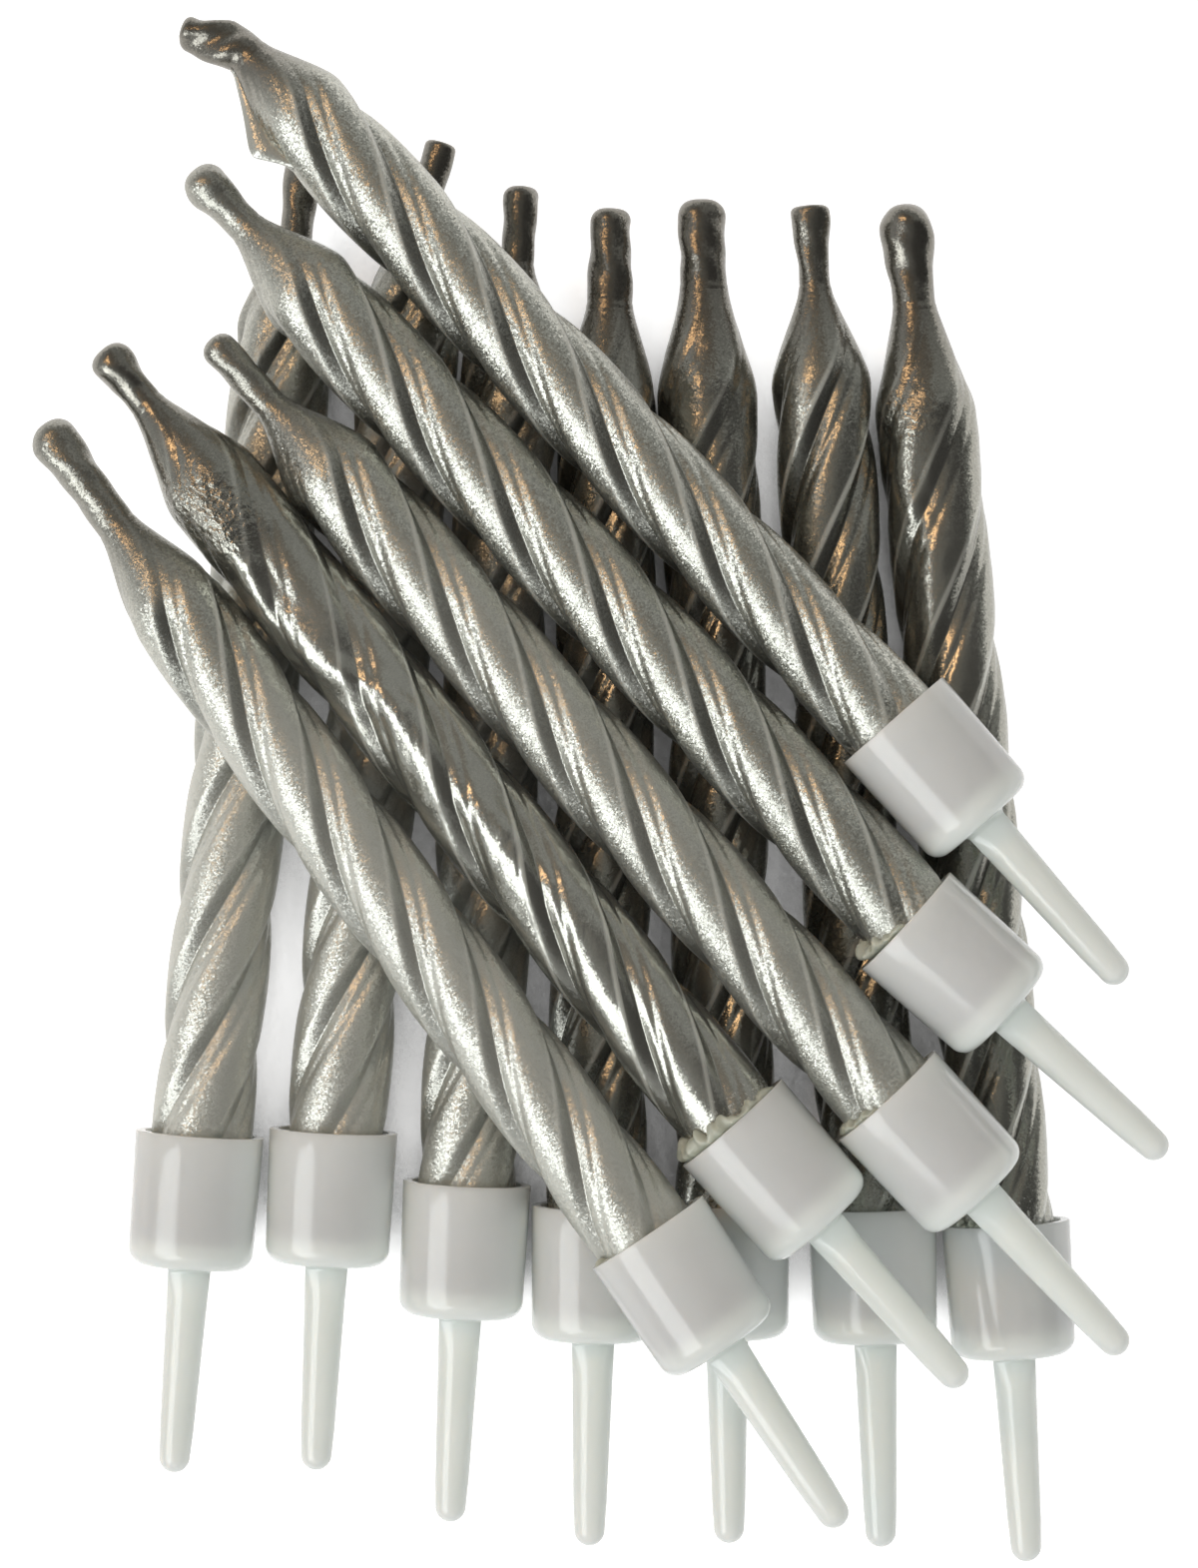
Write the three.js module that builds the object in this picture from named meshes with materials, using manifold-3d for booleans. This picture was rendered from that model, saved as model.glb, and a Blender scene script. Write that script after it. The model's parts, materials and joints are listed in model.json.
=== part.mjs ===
// A set of twelve silver twisted cake candles, each in its own push-in plastic holder, lying as they
// were tipped out of the packet: seven side by side in a narrow fan, and five across them.
// Millimetres, +Z up, +Y towards the tips of the fan, origin at the middle of the footprint.
import * as THREE from "three";
import { mergeVertices } from "three/addons/utils/BufferGeometryUtils.js";
import Module from "manifold-3d";

const wasm = await Module();
wasm.setup();

// Candle: a square bar of wax with rounded sides, twisted right-handed while it was warm.
const candleLength = 63.8;
const bodyDiameter = 5.9;
const creaseDepth = 0.5;
const lobes = 4;
const lobeFullness = 0.6;
const twistLead = 33;
const wickDiameter = 0.9;
const wickClearance = 0.3;

// Holder: a one-piece moulding, a cup on a spike that goes into the cake.
const cupWall = 0.55;
const cupTaper = 0.25;
const cupHeight = 7.9;
const cupCorner = 1;
const cupFloor = 1.6;
const spikeLength = 12.2;
const spikeRootDiameter = 2.5;
const spikeEndDiameter = 1.9;
const cupClearance = 0.3;

// How closely the loose candles lie.
const sideGap = 0.1;
const restGap = 0.1;
const balanceShare = 0.4;

// Mesh fineness.
const pointsPerLobe = 4;
const ringStep = 3.6;
const coneSteps = 3;
const wickSides = 6;
const holderSides = 14;
const sampleStep = 0.5;
const samplesAcross = 12;

const boreDiameter = wickDiameter + 2 * wickClearance;
const cupBore = bodyDiameter + 2 * cupClearance;
const cupDiameter = cupBore + 2 * cupWall;
const seat = cupFloor + cupClearance;
const pullTravel = cupHeight - seat;

// Each wick end: the neck and the blob of dipped wax on it, how long they are, how long the wax cone
// below them is, how square the end is cut (1 is square, 0 is round), and how far the wick bends.
const wickEnds = {
  round: { neck: 2.1, blob: 2.75, length: 4.5, cone: 5.6, cut: 0.45, bend: 0 },
  slim: { neck: 1.95, blob: 2.15, length: 5.2, cone: 5.6, cut: 0.55, bend: 0 },
  blunt: { neck: 2, blob: 2.6, length: 4, cone: 6.2, cut: 0.6, bend: 0 },
  long: { neck: 2.35, blob: 2.75, length: 7.3, cone: 6.2, cut: 0.45, bend: 0 },
  finger: { neck: 2.7, blob: 2.4, length: 5.6, cone: 6.2, cut: 0.7, bend: 0 },
  thick: { neck: 2.8, blob: 2.75, length: 5, cone: 6.8, cut: 0.6, bend: 0 },
  bulb: { neck: 2.55, blob: 3.2, length: 6, cone: 6.5, cut: 0.45, bend: 0 },
  square: { neck: 1.9, blob: 2, length: 4.8, cone: 5, cut: 1, bend: 12 },
  flared: { neck: 1.85, blob: 2.25, length: 4.7, cone: 6, cut: 1, bend: 0 },
  chamfered: { neck: 1.95, blob: 2.2, length: 4.6, cone: 5.6, cut: 0.75, bend: 0 },
  bent: { neck: 2.1, blob: 1.8, length: 4.2, cone: 4.8, cut: 0.8, bend: -28 },
};

// The candles in the order they lie. Heading is degrees from +Y towards +X; stagger is how far the
// cup lies ahead of its neighbour's, apart is a space left beside it, raised is how far the wax stands
// off the floor of its cup, roll turns the twist, and crooked is how many degrees the holder was pushed
// on askew, turned about the middle of the cup.
const fan = [
  { heading: 5.9, stagger: 0, apart: 0, raised: 1, roll: 36, crooked: -1.5, end: "slim" },
  { heading: 5, stagger: 1, apart: 0, raised: 1.3, roll: 2, crooked: -2, end: "square" },
  { heading: 2.9, stagger: -2.4, apart: 0, raised: 1.5, roll: 75, crooked: 0, end: "chamfered" },
  { heading: 1.1, stagger: -1, apart: 0, raised: 1.5, roll: 11, crooked: 0, end: "finger" },
  { heading: -0.6, stagger: 0.3, apart: 0, raised: 1.9, roll: 56, crooked: 0, end: "thick" },
  { heading: -3, stagger: -0.3, apart: 0.3, raised: 1.8, roll: 29, crooked: 1.5, end: "flared" },
  { heading: -5, stagger: -1.3, apart: 0, raised: 3, roll: 65, crooked: 1.5, end: "bulb" },
];
const across = [
  { heading: -44.3, stagger: 0, apart: 0, raised: 0.4, roll: 18, crooked: 3, end: "bent" },
  { heading: -43.8, stagger: -8.8, apart: 0, raised: 2.3, roll: 88, crooked: -4, end: "round" },
  { heading: -41.9, stagger: -6.5, apart: 0, raised: 1, roll: 43, crooked: -1, end: "slim" },
  { heading: -40, stagger: 4.8, apart: 0, raised: 0, roll: 84, crooked: -1.5, end: "blunt" },
  { heading: -37.6, stagger: -1.6, apart: 0, raised: 0.7, roll: 34, crooked: 4, end: "long" },
];
// Where the middle of the first cup of each row lies.
const fanStart = new THREE.Vector2(-24.3, -24.6);
const acrossStart = new THREE.Vector2(19.3, 0.8);
const toTheRight = 1;
const toTheLeft = -1;

const lacquer = new THREE.MeshStandardMaterial({ color: 0xb4b5ab, roughness: 0.38, metalness: 0.85 });
const dippedWick = new THREE.MeshStandardMaterial({ color: 0xa39f92, roughness: 0.42, metalness: 0.8 });
const milkyPlastic = new THREE.MeshStandardMaterial({ color: 0xdde0df, roughness: 0.35, metalness: 0 });

// A smooth step from 0 to 1.
function ease(t) {
  const x = Math.min(1, Math.max(0, t));
  return x * x * (3 - 2 * x);
}

// Places along the axis, measured from the underside of the cup.
function stations(candle) {
  const end = wickEnds[candle.end];
  const foot = seat + candle.raised;
  const top = foot + candleLength;
  const neck = top - end.length;
  const shoulder = neck - end.cone;
  return { end, foot, shoulder, neck, top };
}

// The wax between the shoulder and the neck narrows in a straight cone.
function waxRadius(candle, along) {
  const { end, shoulder, neck } = stations(candle);
  const share = THREE.MathUtils.clamp((along - shoulder) / (neck - shoulder), 0, 1);
  return THREE.MathUtils.lerp(bodyDiameter / 2, end.neck / 2, share);
}

function skew(candle) {
  return THREE.MathUtils.degToRad(candle.crooked);
}

// The largest radius of the whole candle and holder at a place along the axis, nothing past its ends.
function outline(candle, along, pulled = 0) {
  const { end, foot, neck, top } = stations(candle);
  let radius = -1;
  if (along >= -spikeLength && along < 0)
    radius = THREE.MathUtils.lerp(spikeRootDiameter, spikeEndDiameter, -along / spikeLength) / 2;
  if (along >= 0 && along <= cupHeight) radius = cupDiameter / 2;
  if (radius > 0) radius += Math.abs((along - cupHeight / 2) * Math.sin(skew(candle)));
  const inCandle = along - pulled;
  if (along > cupHeight && inCandle >= foot && inCandle <= neck) radius = waxRadius(candle, inCandle);
  if (inCandle > neck && inCandle <= top) radius = Math.max(end.neck, end.blob) / 2;
  return radius;
}

function sweptOutline(candle, along) {
  return Math.max(outline(candle, along), outline(candle, along, pullTravel));
}

function planDirection(heading) {
  const angle = THREE.MathUtils.degToRad(heading);
  return new THREE.Vector2(Math.sin(angle), Math.cos(angle));
}

function planSide(heading, side) {
  const ahead = planDirection(heading);
  return new THREE.Vector2(ahead.y * side, -ahead.x * side);
}

// How far apart two neighbours lie so that they clear each other all along, at rest and pulled.
function clearSpacing(first, second, side) {
  const step = THREE.MathUtils.degToRad((first.heading - second.heading) * side);
  let spacing = 0;
  const reach = cupHeight + candleLength + pullTravel;
  for (let along = -spikeLength; along < reach; along += sampleStep) {
    const own = sweptOutline(second, along);
    const beside = Math.max(
      ...[-sampleStep, 0, sampleStep].map((shift) => sweptOutline(first, along + second.stagger + shift)),
    );
    if (own < 0 || beside < 0) continue;
    const drawnIn = (along - cupHeight / 2) * Math.sin(step);
    spacing = Math.max(spacing, own + beside + sideGap + drawnIn);
  }
  return spacing + second.apart;
}

// Lays a row of candles side by side and gives each the plan position of its cup's underside.
function layRow(row, start, side) {
  let cup = start.clone();
  row.forEach((candle, i) => {
    if (i > 0) {
      const first = row[i - 1];
      cup = cup
        .clone()
        .addScaledVector(planSide(first.heading, side), clearSpacing(first, candle, side))
        .addScaledVector(planDirection(first.heading), candle.stagger);
    }
    candle.ahead = planDirection(candle.heading);
    candle.right = planSide(candle.heading, toTheRight);
    candle.plan = cup.clone().addScaledVector(candle.ahead, -cupHeight / 2);
  });
}

// The height of the top of a settled candle over a point of the table, or nothing beside it.
function topOver(candle, point) {
  const from = point.clone().sub(candle.plan);
  const along = from.dot(candle.ahead);
  const aside = from.dot(candle.right);
  const radius = outline(candle, along);
  if (radius < Math.abs(aside)) return -1;
  return candle.height + candle.slope * along + Math.sqrt(radius ** 2 - aside ** 2);
}

// How high the axis must lie at one place so that the candle there clears what is under it.
function heightNeeded(candle, along, below) {
  const radius = outline(candle, along);
  let needed = radius;
  for (let aside = -radius; aside <= radius; aside += (2 * radius) / samplesAcross) {
    const point = candle.plan
      .clone()
      .addScaledVector(candle.ahead, along)
      .addScaledVector(candle.right, aside);
    const under = Math.max(...below.map((other) => topOver(other, point)), -1);
    if (under < 0) continue;
    needed = Math.max(needed, under + restGap + Math.sqrt(Math.max(0, radius ** 2 - aside ** 2)));
  }
  return needed;
}

// Lowers a candle until it rests on something to each side of its balance point.
function settle(candle, below) {
  const { top } = stations(candle);
  const balance = top * balanceShare;
  const supports = [];
  for (let along = -spikeLength; along <= top; along += sampleStep)
    supports.push({ along, needed: heightNeeded(candle, along, below) });
  let highest = -1;
  for (const low of supports.filter((p) => p.along <= balance))
    for (const high of supports.filter((p) => p.along > balance)) {
      const slope = (high.needed - low.needed) / (high.along - low.along);
      const atBalance = low.needed + slope * (balance - low.along);
      if (atBalance <= highest) continue;
      highest = atBalance;
      candle.slope = slope;
      candle.height = low.needed - slope * low.along;
    }
}

// A closed skin over rings of points that all have the same number of points.
function skin(rings) {
  const count = rings[0].length;
  const points = rings.flat();
  const faces = [];
  for (let i = 0; i + 1 < rings.length; i++)
    for (let j = 0; j < count; j++) {
      const a = i * count + j;
      const b = i * count + ((j + 1) % count);
      faces.push(a, b, b + count, a, b + count, a + count);
    }
  for (const [ring, closesStart] of [[0, true], [rings.length - 1, false]]) {
    const middle = points.length;
    const centre = new THREE.Vector3();
    rings[ring].forEach((p) => centre.addScaledVector(p, 1 / count));
    points.push(centre);
    for (let j = 0; j < count; j++) {
      const a = ring * count + j;
      const b = ring * count + ((j + 1) % count);
      faces.push(middle, closesStart ? b : a, closesStart ? a : b);
    }
  }
  const geometry = new THREE.BufferGeometry().setFromPoints(points);
  geometry.setIndex(faces);
  return geometry;
}

function solid(geometry) {
  const bare = geometry.clone();
  bare.deleteAttribute("normal");
  bare.deleteAttribute("uv");
  const merged = mergeVertices(bare, 1e-4);
  const vertProperties = new Float32Array(merged.attributes.position.array);
  const triVerts = new Uint32Array(merged.index.array);
  return new wasm.Manifold(new wasm.Mesh({ numProp: 3, vertProperties, triVerts }));
}

function surface(made) {
  const mesh = made.getMesh();
  const geometry = new THREE.BufferGeometry();
  geometry.setAttribute("position", new THREE.BufferAttribute(new Float32Array(mesh.vertProperties), 3));
  geometry.setIndex(new THREE.BufferAttribute(new Uint32Array(mesh.triVerts), 1));
  geometry.computeVertexNormals();
  return geometry;
}

// One ring of the twisted bar: rounded lobes that meet in narrow creases.
function twistedRing(candle, along, crease) {
  const radius = waxRadius(candle, along);
  const turn = THREE.MathUtils.degToRad(candle.roll) + (2 * Math.PI * along) / twistLead;
  const count = lobes * pointsPerLobe;
  return Array.from({ length: count }, (_, j) => {
    const bulge = Math.sin((Math.PI * (j % pointsPerLobe)) / pointsPerLobe) ** lobeFullness;
    const r = radius - crease * (1 - bulge);
    const angle = turn + (2 * Math.PI * j) / count;
    return new THREE.Vector3(r * Math.cos(angle), r * Math.sin(angle), along);
  });
}

// The wax body, with the wick's bore right through it.
function waxGeometry(candle) {
  const { foot, shoulder, neck } = stations(candle);
  const bodySteps = Math.ceil((shoulder - foot) / ringStep);
  const rings = [];
  for (let i = 0; i <= bodySteps; i++)
    rings.push(twistedRing(candle, THREE.MathUtils.lerp(foot, shoulder, i / bodySteps), creaseDepth));
  for (let i = 1; i <= coneSteps; i++) {
    const share = i / coneSteps;
    rings.push(twistedRing(candle, THREE.MathUtils.lerp(shoulder, neck, share), creaseDepth * (1 - share)));
  }
  const bore = new THREE.CylinderGeometry(boreDiameter / 2, boreDiameter / 2, 2 * candleLength, wickSides);
  bore.rotateX(Math.PI / 2);
  return surface(solid(skin(rings)).subtract(solid(bore)));
}

// The cotton wick: a thin core from the foot of the wax to the neck, then the end that stands out,
// thickened by dipping, which may lean over.
function wickGeometry(candle) {
  const { end, foot, neck, top } = stations(candle);
  // How far up the bare end each ring lies, and its diameter: a straight neck, then the blob.
  const nearTop = THREE.MathUtils.lerp(end.blob * 0.8, end.blob, end.cut);
  const shape = [
    [0, end.neck],
    [0.5, end.neck],
    [0.75, end.blob],
    [0.92, nearTop],
    [1, end.blob * end.cut],
  ];
  const ring = (diameter, centre, lean) =>
    Array.from({ length: wickSides }, (_, j) => {
      const angle = (2 * Math.PI * j) / wickSides;
      const across = (diameter / 2) * Math.cos(angle);
      const point = new THREE.Vector3(across * Math.cos(lean), (diameter / 2) * Math.sin(angle));
      point.z = -across * Math.sin(lean);
      return point.add(centre);
    });
  const start = neck + wickClearance;
  const core = (along) => ring(wickDiameter, new THREE.Vector3(0, 0, along), 0);
  const rings = [core(foot + wickClearance), core(start)];
  const bend = THREE.MathUtils.degToRad(end.bend);
  const centre = new THREE.Vector3(0, 0, start);
  let reached = 0;
  for (const [share, diameter] of shape) {
    const lean = bend * ease(share * 2);
    const length = (share - reached) * (top - start);
    centre.add(new THREE.Vector3(Math.sin(lean), 0, Math.cos(lean)).multiplyScalar(length));
    reached = share;
    rings.push(ring(diameter, centre, lean));
  }
  return skin(rings);
}

// The holder: turned about its axis, closed at the spike's end and at the floor of the cup.
function holderGeometry(candle) {
  const footRadius = (cupDiameter - cupTaper) / 2;
  const rimRadius = cupDiameter / 2;
  const boreRadius = cupBore / 2;
  const corner = Math.min(cupCorner, footRadius - spikeRootDiameter / 2);
  const cornerPoint = (degrees) => {
    const angle = THREE.MathUtils.degToRad(degrees);
    return [footRadius - corner + corner * Math.sin(angle), corner - corner * Math.cos(angle)];
  };
  const endRadius = spikeEndDiameter / 2;
  const profile = [
    [0, -spikeLength],
    [endRadius * 0.7, endRadius * 0.3 - spikeLength],
    [endRadius, endRadius - spikeLength],
    [spikeRootDiameter / 2, 0],
    cornerPoint(0),
    cornerPoint(45),
    cornerPoint(90),
    [rimRadius, cupHeight],
    [boreRadius, cupHeight],
    [boreRadius, cupFloor],
    [0, cupFloor],
  ].map(([radius, along]) => new THREE.Vector2(radius, along));
  const turned = new THREE.LatheGeometry(profile, holderSides).rotateX(Math.PI / 2);
  turned.translate(0, 0, -cupHeight / 2).rotateY(skew(candle)).translate(0, 0, cupHeight / 2);
  return surface(solid(turned));
}

// A candle's own frame: x to the right, y down to the table, z along the axis towards the tip.
function seatInPlace(group, candle) {
  const axis = new THREE.Vector3(candle.ahead.x, candle.ahead.y, candle.slope).normalize();
  const right = new THREE.Vector3(candle.right.x, candle.right.y, 0);
  const down = new THREE.Vector3().crossVectors(axis, right);
  group.matrix.makeBasis(right, down, axis);
  group.matrix.setPosition(candle.plan.x, candle.plan.y, candle.height);
  group.matrix.decompose(group.position, group.quaternion, group.scale);
}

function makeCandle(candle, number) {
  const label = String(number).padStart(2, "0");
  const group = new THREE.Group();
  const add = (name, geometry, material) => {
    const mesh = new THREE.Mesh(geometry, material);
    mesh.name = `${name}_${label}`;
    group.add(mesh);
  };
  add("wax", waxGeometry(candle), lacquer);
  add("wick", wickGeometry(candle), dippedWick);
  add("holder", holderGeometry(candle), milkyPlastic);
  seatInPlace(group, candle);
  return group;
}

layRow(fan, fanStart, toTheRight);
fan.forEach((candle) => settle(candle, []));
layRow(across, acrossStart, toTheLeft);
across.forEach((candle) => settle(candle, fan));

const candles = new THREE.Group();
[...fan, ...across].forEach((candle, i) => candles.add(makeCandle(candle, i + 1)));
candles.updateMatrixWorld(true);

const extent = new THREE.Box3().setFromObject(candles, true);
const middle = extent.getCenter(new THREE.Vector3());
candles.position.set(-middle.x, -middle.y, -extent.min.z);

const set = new THREE.Group();
set.add(candles);
export default set;
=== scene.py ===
import json
import math

import bpy
import numpy as np
from mathutils import Matrix, Vector


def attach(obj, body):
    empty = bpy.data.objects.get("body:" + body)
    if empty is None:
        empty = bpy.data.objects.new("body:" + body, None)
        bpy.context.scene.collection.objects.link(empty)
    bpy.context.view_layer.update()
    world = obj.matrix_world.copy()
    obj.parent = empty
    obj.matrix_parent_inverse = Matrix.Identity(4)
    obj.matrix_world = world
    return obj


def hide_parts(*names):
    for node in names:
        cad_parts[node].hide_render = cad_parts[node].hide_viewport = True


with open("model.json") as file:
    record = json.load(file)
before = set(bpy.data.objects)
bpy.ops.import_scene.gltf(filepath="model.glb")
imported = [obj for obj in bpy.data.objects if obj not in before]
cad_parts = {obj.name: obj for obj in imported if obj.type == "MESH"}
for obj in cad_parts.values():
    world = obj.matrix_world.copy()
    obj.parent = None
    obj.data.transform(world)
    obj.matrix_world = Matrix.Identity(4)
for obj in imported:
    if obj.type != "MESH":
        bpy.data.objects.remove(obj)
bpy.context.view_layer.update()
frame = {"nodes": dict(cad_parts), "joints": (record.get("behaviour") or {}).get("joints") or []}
MM = 0.001


# The camera: it looks straight down on the candles from about an arm's length, so that the upper
# candles look a little larger than the lower ones and the outer cups show a sliver of their rims.
CAMERA_HEIGHT = 254 * MM
CAMERA_OVER = (0.43 * MM, 0.86 * MM)
PICTURE_VIEW_DEGREES = 21.07
SENSOR = 24.0

camera_data = bpy.data.cameras.new("camera")
camera_data.sensor_fit = "VERTICAL"
camera_data.sensor_height = SENSOR
camera_data.lens = SENSOR / 2 / math.tan(math.radians(PICTURE_VIEW_DEGREES / 2))
camera_data.clip_start = 0.01
camera = bpy.data.objects.new("camera", camera_data)
camera.location = (*CAMERA_OVER, CAMERA_HEIGHT)
bpy.context.scene.collection.objects.link(camera)
bpy.context.scene.camera = camera


# The set: twelve candles, seven in a fan and five across it. Each one's own frame has x to the right,
# y down to the table and z along the axis, from the underside of the cup. It is read from the frame:
# the axis from the candle's pull, and a point on the axis from the middle of its wax.
CUP_FLOOR = 1.6 * MM
CUP_HEIGHT = 7.9 * MM
SEAT = CUP_FLOOR + 0.3 * MM
CANDLE_LENGTH = 63.8 * MM
RAISED_MM = [1, 1.3, 1.5, 1.5, 1.9, 1.8, 3, 0.4, 2.3, 1, 0, 0.7]
LABELS = [f"{number:02d}" for number in range(1, 13)]


def unique_points(node):
    points = np.array([vertex.co[:] for vertex in frame["nodes"][node].data.vertices])
    return np.unique(np.round(points, 6), axis=0)


def candle_frame(label, raised):
    """The 4x4 that puts a candle's own frame where the wax node lies."""
    joint = next(j for j in frame["joints"] if j["name"] == f"pull_{label}")
    axis = Vector(joint["axis"]).normalized()
    right = Vector((axis.y, -axis.x, 0)).normalized()
    down = axis.cross(right)
    wax = unique_points(f"wax_{label}")
    middle = Vector(wax.mean(axis=0))
    foot = float((wax @ np.array(axis)).min())
    base = middle + axis * (foot - SEAT - raised - middle.dot(axis))
    placed = Matrix((right, down, axis)).transposed().to_4x4()
    placed.translation = base
    return placed


PLACES = {label: candle_frame(label, raised * MM) for label, raised in zip(LABELS, RAISED_MM)}


# The wax: a bar of paraffin with four full lobes, twisted right-handed while warm, with a low second
# ridge beside each crease, and drawn to a smooth cone at the wick. It was dipped in silver lacquer that
# thins out towards the foot. The twist follows a rule, so Geometry Nodes make it.
BODY_RADIUS = 3.0 * MM
CREASE_DEPTH = 0.65 * MM
LOBES = 4
FULL_TURN = 2 * math.pi
TWIST_LEADS_MM = [33, 33, 33, 33, 33, 33, 33, 32.6, 32.8, 33.5, 33.8, 31.8]
WAX_RINGS = 240
WAX_SIDES = 192
# The surface from one crease to the next, left to right: 0 is the bottom of the crease, 1 the crest.
# It rises over a low ridge and a shallow groove to a broad face, and ends at a lip above the flank.
LOBE_PROFILE = [(0, 0), (0.03, 0.09), (0.06, 0.18), (0.1, 0.3), (0.14, 0.405), (0.165, 0.435), (0.185, 0.443),
                (0.2, 0.446), (0.215, 0.463), (0.235, 0.52), (0.26, 0.62), (0.285, 0.725), (0.31, 0.81),
                (0.34, 0.875), (0.38, 0.925), (0.44, 0.965), (0.5, 0.99), (0.56, 1), (0.63, 0.985),
                (0.7, 0.955), (0.75, 0.92), (0.775, 0.915), (0.8, 0.88), (0.83, 0.79), (0.88, 0.58),
                (0.93, 0.33), (0.97, 0.14), (1, 0)]
# Painted shade: how dark the right-hand flank of a lobe and the bottom of its crease are painted, standing in
# for the crease's shade.
FLANK_SHADE = [(0, 0.35), (0.03, 0.1), (0.08, 0), (0.5, 0), (0.78, 0), (0.84, 0.5), (0.9, 0.9),
               (0.97, 1), (1, 1)]
# Painted highlight: where the lip above the flank is painted paler, standing in for the light it catches.
PAINTED_LIP_HIGHLIGHT = [(0, 0), (0.3, 0), (0.7, 0), (0.745, 0.2), (0.77, 1), (0.8, 1), (0.82, 0.2), (0.85, 0), (1, 0)]

# How the wax narrows between the shoulder and the neck: a nearly straight cone with soft ends.
CONE_PROFILE = [(0, 0), (0.1, 0.05), (0.25, 0.19), (0.5, 0.47), (0.75, 0.77), (0.9, 0.93), (1, 1)]

# The bare wick end above the wax: its neck and blob diameters, its length, the length of the wax cone
# below it, all in mm, how square it is cut and how many degrees it bends. They follow the frame's.
WICK_ENDS = {
    "round": {"neck": 2.1, "blob": 2.75, "length": 4.5, "cone": 5.6, "cut": 0.45, "bend": 0},
    "slim": {"neck": 1.95, "blob": 2.15, "length": 5.2, "cone": 5.6, "cut": 0.55, "bend": 0},
    "blunt": {"neck": 2, "blob": 2.6, "length": 4, "cone": 6.2, "cut": 0.6, "bend": 0},
    "long": {"neck": 2.35, "blob": 2.75, "length": 7.3, "cone": 6.2, "cut": 0.45, "bend": 0},
    "finger": {"neck": 2.7, "blob": 2.4, "length": 5.6, "cone": 6.2, "cut": 0.7, "bend": 0},
    "thick": {"neck": 2.8, "blob": 2.75, "length": 5, "cone": 6.8, "cut": 0.6, "bend": 0},
    "bulb": {"neck": 2.55, "blob": 3.2, "length": 6, "cone": 6.5, "cut": 0.45, "bend": 0},
    "square": {"neck": 1.9, "blob": 2, "length": 4.8, "cone": 5, "cut": 1, "bend": 12},
    "flared": {"neck": 1.85, "blob": 2.25, "length": 4.7, "cone": 6, "cut": 1, "bend": 0},
    "chamfered": {"neck": 1.95, "blob": 2.2, "length": 4.6, "cone": 5.6, "cut": 0.75, "bend": 0},
    "bent": {"neck": 2.5, "blob": 1.8, "length": 4.2, "cone": 4.8, "cut": 0.8, "bend": -28, "lumpy": 3},
}
ENDS = [
    "slim", "square", "chamfered", "finger", "thick", "flared", "bulb",
    "bent", "round", "slim", "blunt", "long",
]
ROLLS = [36, 92, 75, 11, 56, 29, 65, 13, 86, 49, 93, 20]
# How far each candle's tip leans to its own right, in mm: soft wax seldom stays quite straight.
BOW_MM = [0, 0.3, 0.2, -0.2, -0.7, -0.36, -0.47, 0.4, 0, 0.05, 0.6, 0.7]
# How far below its shoulder each candle has softened and run, and how lumpy its wax is.
MELTED_MM = [3, 3, 3, 6, 14, 3, 26, 3, 3, 3, 34, 3]
LUMPS_MM = [0.02, 0.03, 0.02, 0.03, 0.1, 0.03, 0.12, 0.02, 0.02, 0.02, 0.14, 0.02]
# How much glossier than the frosted lacquer a candle is all over, where its wax has softened.
GLOSS = [0.1, 0.3, 0.1, 0.6, 0.8, 0.6, 0.9, 0, 0, 0, 0.9, 0]
# The run of melted wax down each softened candle: how high it stands, where it starts round the candle,
# in degrees from its right, and how far down from the shoulder it reaches.
RUNS = {10: (0.5, 228, 40), 4: (0.12, 250, 14), 6: (0.2, 215, 26)}
# How much glossier the cone and the wick's end are, and how much painted shade darkens them.
TIP_SHADE_AND_GLOSS = [1, 1, 1, 1, 1, 0.8, 0.9, 1, 0.3, 0.5, 0.65, 0.5]
# How thin its lacquer is below the shoulder, so that the pale wax under it shows through.
PALE = [0.95, 1, 0.7, 0.3, 0.3, 0, 0.15, 0, 0, 0.45, 0.35, 0.85]


def lay_out(candle):
    """Where a candle's foot, shoulder, neck and top lie along its axis."""
    end = WICK_ENDS[ENDS[candle]]
    foot = SEAT + RAISED_MM[candle] * MM
    top = foot + CANDLE_LENGTH
    neck = top - end["length"] * MM
    return end, foot, neck - end["cone"] * MM, neck, top


class Field:
    """A value inside a node tree. Arithmetic on fields adds the Math nodes that work it out."""

    def __init__(self, tree, socket):
        self.tree = tree
        self.socket = socket

    def math(self, operation, *others):
        node = self.tree.nodes.new("ShaderNodeMath")
        node.operation = operation
        for slot, value in zip(node.inputs, (self, *others)):
            if isinstance(value, Field):
                self.tree.links.new(value.socket, slot)
            else:
                slot.default_value = value
        return Field(self.tree, node.outputs[0])

    def __add__(self, other):
        return self.math("ADD", other)

    def __sub__(self, other):
        return self.math("SUBTRACT", other)

    def __mul__(self, other):
        return self.math("MULTIPLY", other)

    def __truediv__(self, other):
        return self.math("DIVIDE", other)

    def power(self, exponent):
        return self.math("POWER", exponent)

    def at_least(self, other):
        return self.math("MAXIMUM", other)

    def at_most(self, other):
        return self.math("MINIMUM", other)

    def held(self):
        """The value kept between 0 and 1."""
        return self.at_least(0.0).at_most(1.0)

    def eased(self):
        """A smooth step over 0 to 1."""
        x = self.held()
        return x * x * (x * -2.0 + 3.0)

    def less_from_one(self):
        return self * -1.0 + 1.0

    def through(self, points):
        """The height at this place of a smooth curve through points that run from 0 to 1."""
        node = self.tree.nodes.new("ShaderNodeFloatCurve")
        curve = node.mapping.curves[0]
        curve.points[0].location = points[0]
        curve.points[1].location = points[-1]
        for point in points[1:-1]:
            curve.points.new(*point)
        node.mapping.update()
        self.tree.links.new(self.socket, node.inputs["Value"])
        return Field(self.tree, node.outputs[0])


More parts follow.
